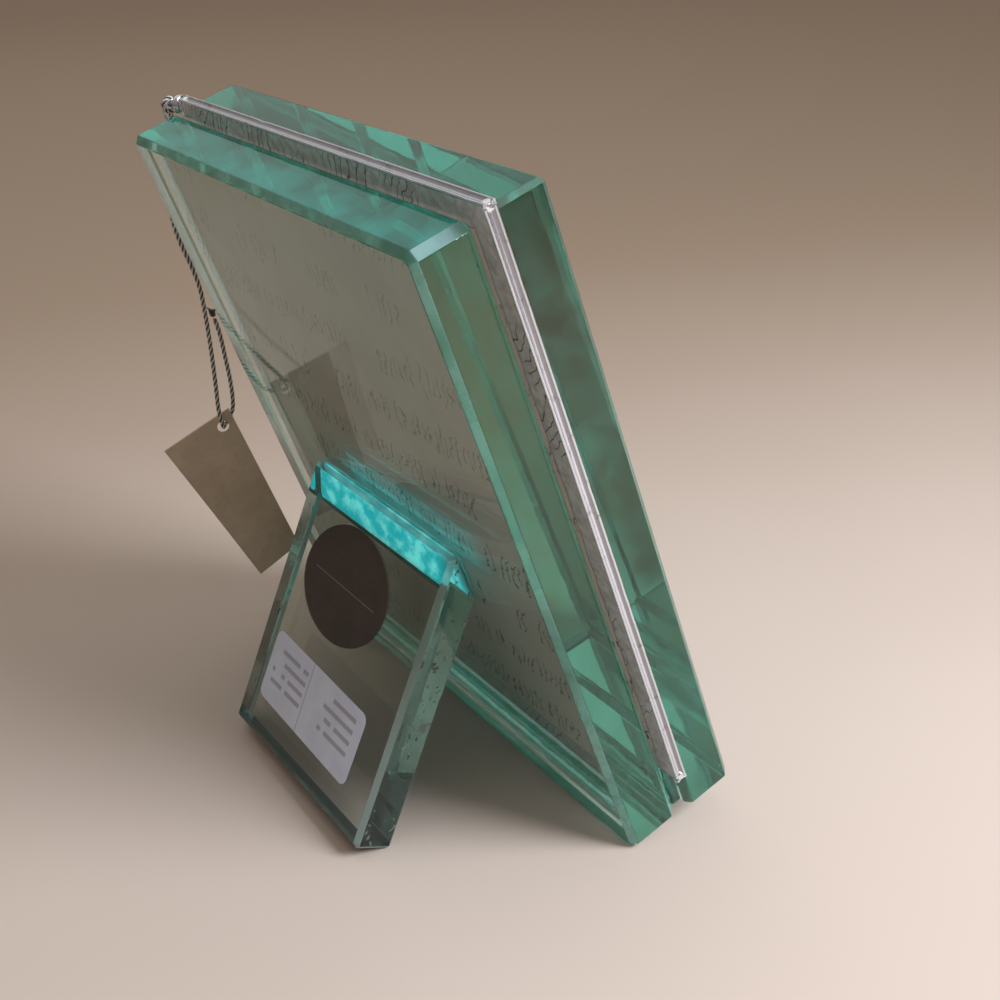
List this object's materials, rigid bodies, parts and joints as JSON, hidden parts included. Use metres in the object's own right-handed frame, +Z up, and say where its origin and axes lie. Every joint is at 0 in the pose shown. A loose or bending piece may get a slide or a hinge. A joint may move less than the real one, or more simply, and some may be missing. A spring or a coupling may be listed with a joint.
{
  "type": "glass picture frame",
  "caption": "Leaning picture frame of thick bevelled glass plates on a bonded glass leg, with a slim metal-edged panel that lifts out of the slot and a tag hung on a cord.",
  "frame": {"origin": "middle of the base on the table, under the middle of the object without its tag and cord", "axes": "+Z up; the picture side faces -Y and leans back towards +Y, where the leg is; +X is the side with the pin and the tag"},
  "size_m": [0.1112, 0.0622, 0.1192],
  "materials": {
    "plate_glass": "polished float glass, green edges",
    "clear_strip": "clear, polished",
    "adhesive": "clear cured adhesive, light aqua",
    "dark_paper": "dark brown-black, satin",
    "pale_paper": "pale grey, satin",
    "silver_edging": "bright silver, slightly brushed",
    "clear_sheet": "clear sheet, glossy",
    "picture_paper": "plain, satin",
    "taupe_card": "taupe, matte, faint slanted printed strokes",
    "silver_wire": "bright silver wire",
    "crystal": "pale aqua, cut",
    "cord": "twisted, silver and dark grey",
    "dark_cord": "dark thread",
    "tag_card": "taupe, matte"
  },
  "bodies": {
    "glass_stand": {"rear_plate": "plate_glass", "front_plate": "plate_glass", "spacer_strip": "clear_strip", "spacer_bond_front": "adhesive", "spacer_bond_rear": "adhesive", "support_leg": "plate_glass", "leg_bond": "adhesive", "oval_sticker": "dark_paper", "plain_label": "pale_paper"},
    "panel": {"panel_edge_top": "silver_edging", "panel_edge_bottom": "silver_edging", "panel_edge_right": "silver_edging", "panel_edge_left": "silver_edging", "panel_cover": "clear_sheet", "picture_card": "picture_paper", "backing_card": "taupe_card", "hanger_pin": "silver_wire", "wire_coil": "silver_wire"},
    "ring_charm": {"hanging_ring": "silver_wire", "cut_bead": "crystal"},
    "tag": {"tag_cord": "cord", "cord_hitch": "cord", "cord_knot": "dark_cord", "hang_tag": "tag_card"}
  },
  "joints": [
    {"name": "panel_lift", "type": "slide", "parent": "glass_stand", "child": "panel", "axis": [0, 0.3275, 0.9449], "range_m": [0, 0.11]},
    {"name": "ring_swing", "type": "hinge", "parent": "panel", "child": "ring_charm", "pos_m": [0.0508, 0.01929, 0.11647], "axis": [1, 0, 0], "range_deg": [-60, 60]},
    {"name": "tag_swing", "type": "hinge", "parent": "panel", "child": "tag", "pos_m": [0.0522, 0.01957, 0.11629], "axis": [1, 0, 0], "range_deg": [-60, 60]}
  ]
}
